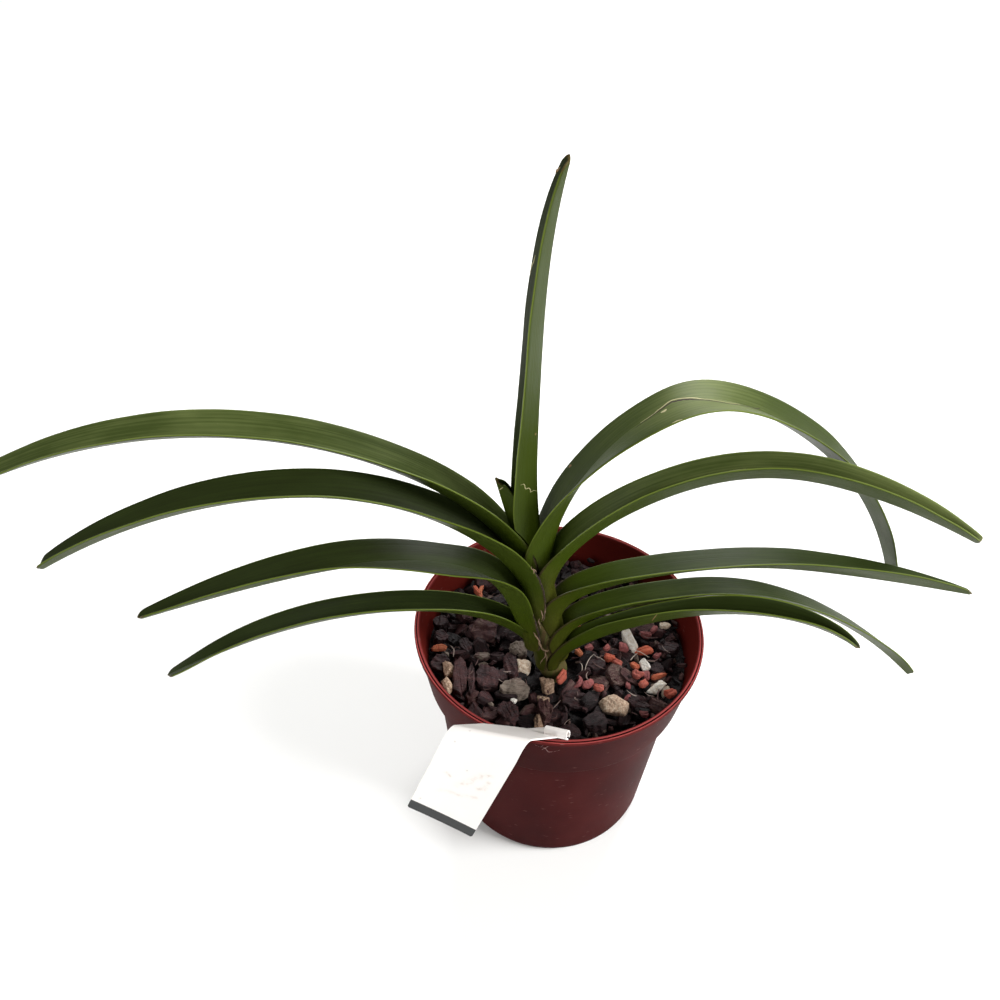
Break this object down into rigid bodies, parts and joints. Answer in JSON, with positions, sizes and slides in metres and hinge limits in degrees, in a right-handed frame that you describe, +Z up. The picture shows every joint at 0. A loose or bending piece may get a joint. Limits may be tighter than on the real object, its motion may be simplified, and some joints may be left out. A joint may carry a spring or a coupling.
{
  "type": "potted vanda orchid",
  "caption": "Leafy vanda orchid, not in bloom, with keeled strap leaves fanned to both sides, standing in a bark-filled plastic nursery pot with a blank stake label.",
  "frame": {"origin": "middle of the pot's flat foot, on the surface it stands on", "axes": "+Z up the pot's axis, +X to the right along the fan of leaves seen from the label side, +Y away from the label side"},
  "size_m": [0.3984, 0.155, 0.3238],
  "materials": {
    "pot": "moulded red-brown plastic, satin, lightly scuffed",
    "medium": "split conifer bark, dark and damp, with pale stones and orange feed pellets",
    "stem": "green-brown stem under dry papery sheath rags",
    "leaf": "thick leathery leaf, waxy sheen, yellow-green towards the foot",
    "label": "thin white plastic, blank, with a dark band along its end"
  },
  "bodies": {
    "root": {"pot": "pot", "medium": "medium", "stem": "stem", "leaf_right_5": "leaf", "leaf_left_4": "leaf", "leaf_right_4": "leaf", "leaf_left_3": "leaf", "leaf_right_3": "leaf", "leaf_left_2": "leaf", "leaf_right_2": "leaf", "leaf_left_1": "leaf", "leaf_right_1": "leaf", "leaf_centre": "leaf", "leaf_new": "leaf", "label": "label"}
  },
  "joints": []
}
